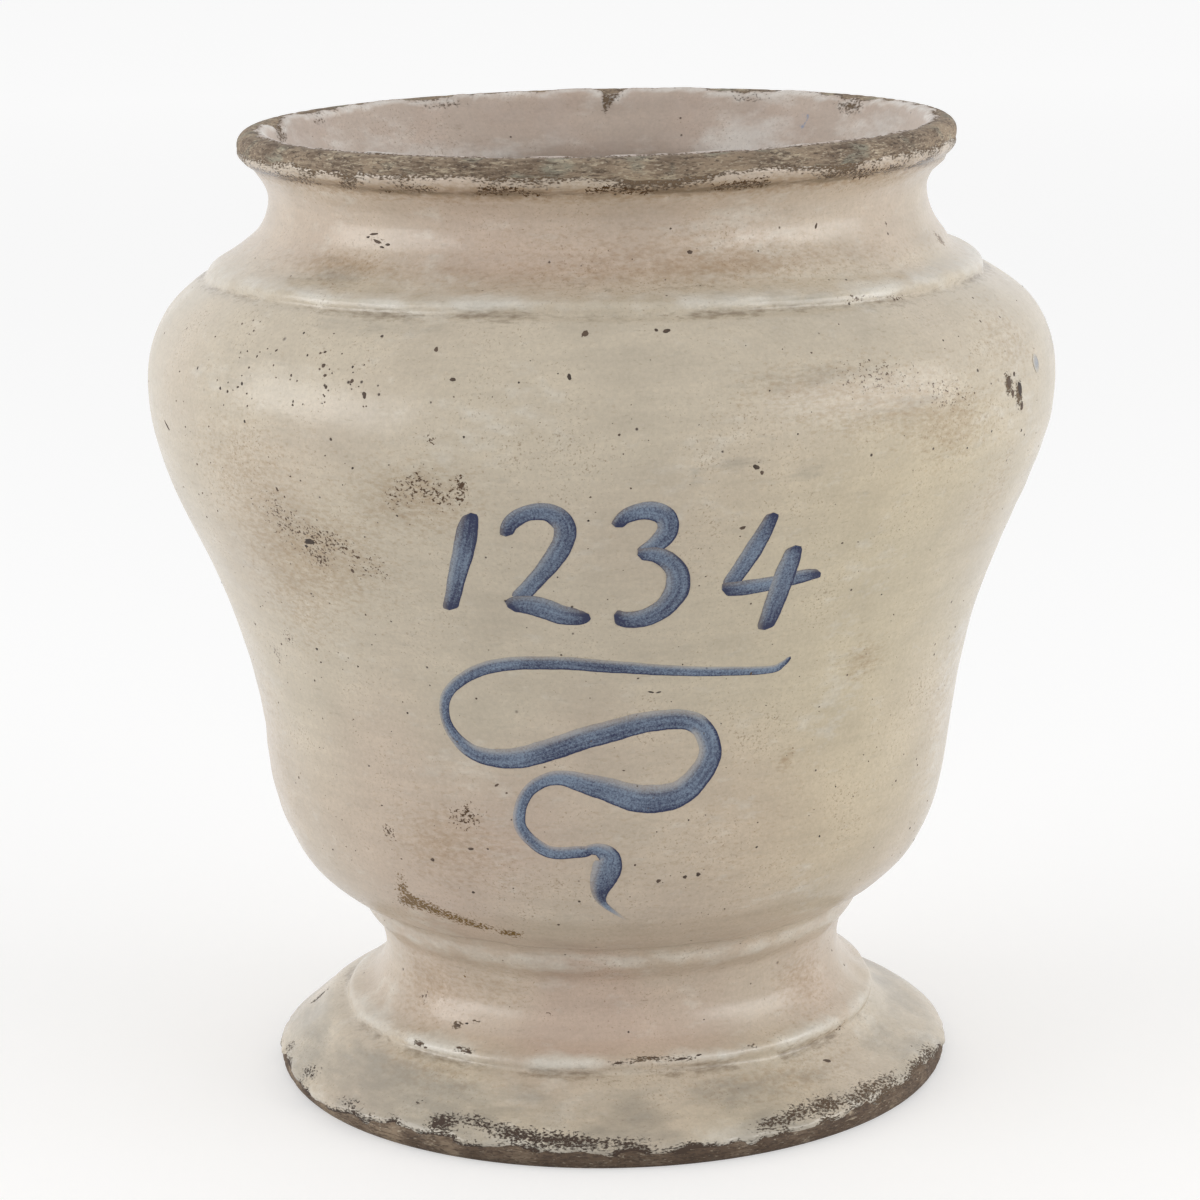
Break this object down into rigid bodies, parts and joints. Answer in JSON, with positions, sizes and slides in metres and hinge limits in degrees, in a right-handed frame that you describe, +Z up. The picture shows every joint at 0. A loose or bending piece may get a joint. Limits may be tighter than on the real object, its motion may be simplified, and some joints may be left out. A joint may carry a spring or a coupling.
{
  "type": "ceramic vase",
  "caption": "Footed ceramic vase with a high round shoulder, short neck and rolled lip on a hollow flared pedestal foot, white-glazed inside and out and worn bare at lip and foot.",
  "frame": {"origin": "centre of the foot's resting ring, on the table", "axes": "+Z up along the turning axis; -Y is the painted front"},
  "size_m": [0.1316, 0.1316, 0.1413],
  "materials": {
    "earthenware": "bare fired clay, matt, worn and stained",
    "slip": "fired clay slip, matt",
    "tin_glaze": "opaque cream tin glaze, soft gloss, pinholed and stained",
    "inside_glaze": "opaque pinkish white tin glaze, soft gloss",
    "cobalt_paint": "cobalt blue brushed into the glaze, soft gloss"
  },
  "bodies": {
    "root": {"jar_body": "earthenware", "pedestal_foot": "earthenware", "luting_slip": "slip", "outer_glaze": "tin_glaze", "inner_glaze": "inside_glaze"}
  },
  "joints": []
}
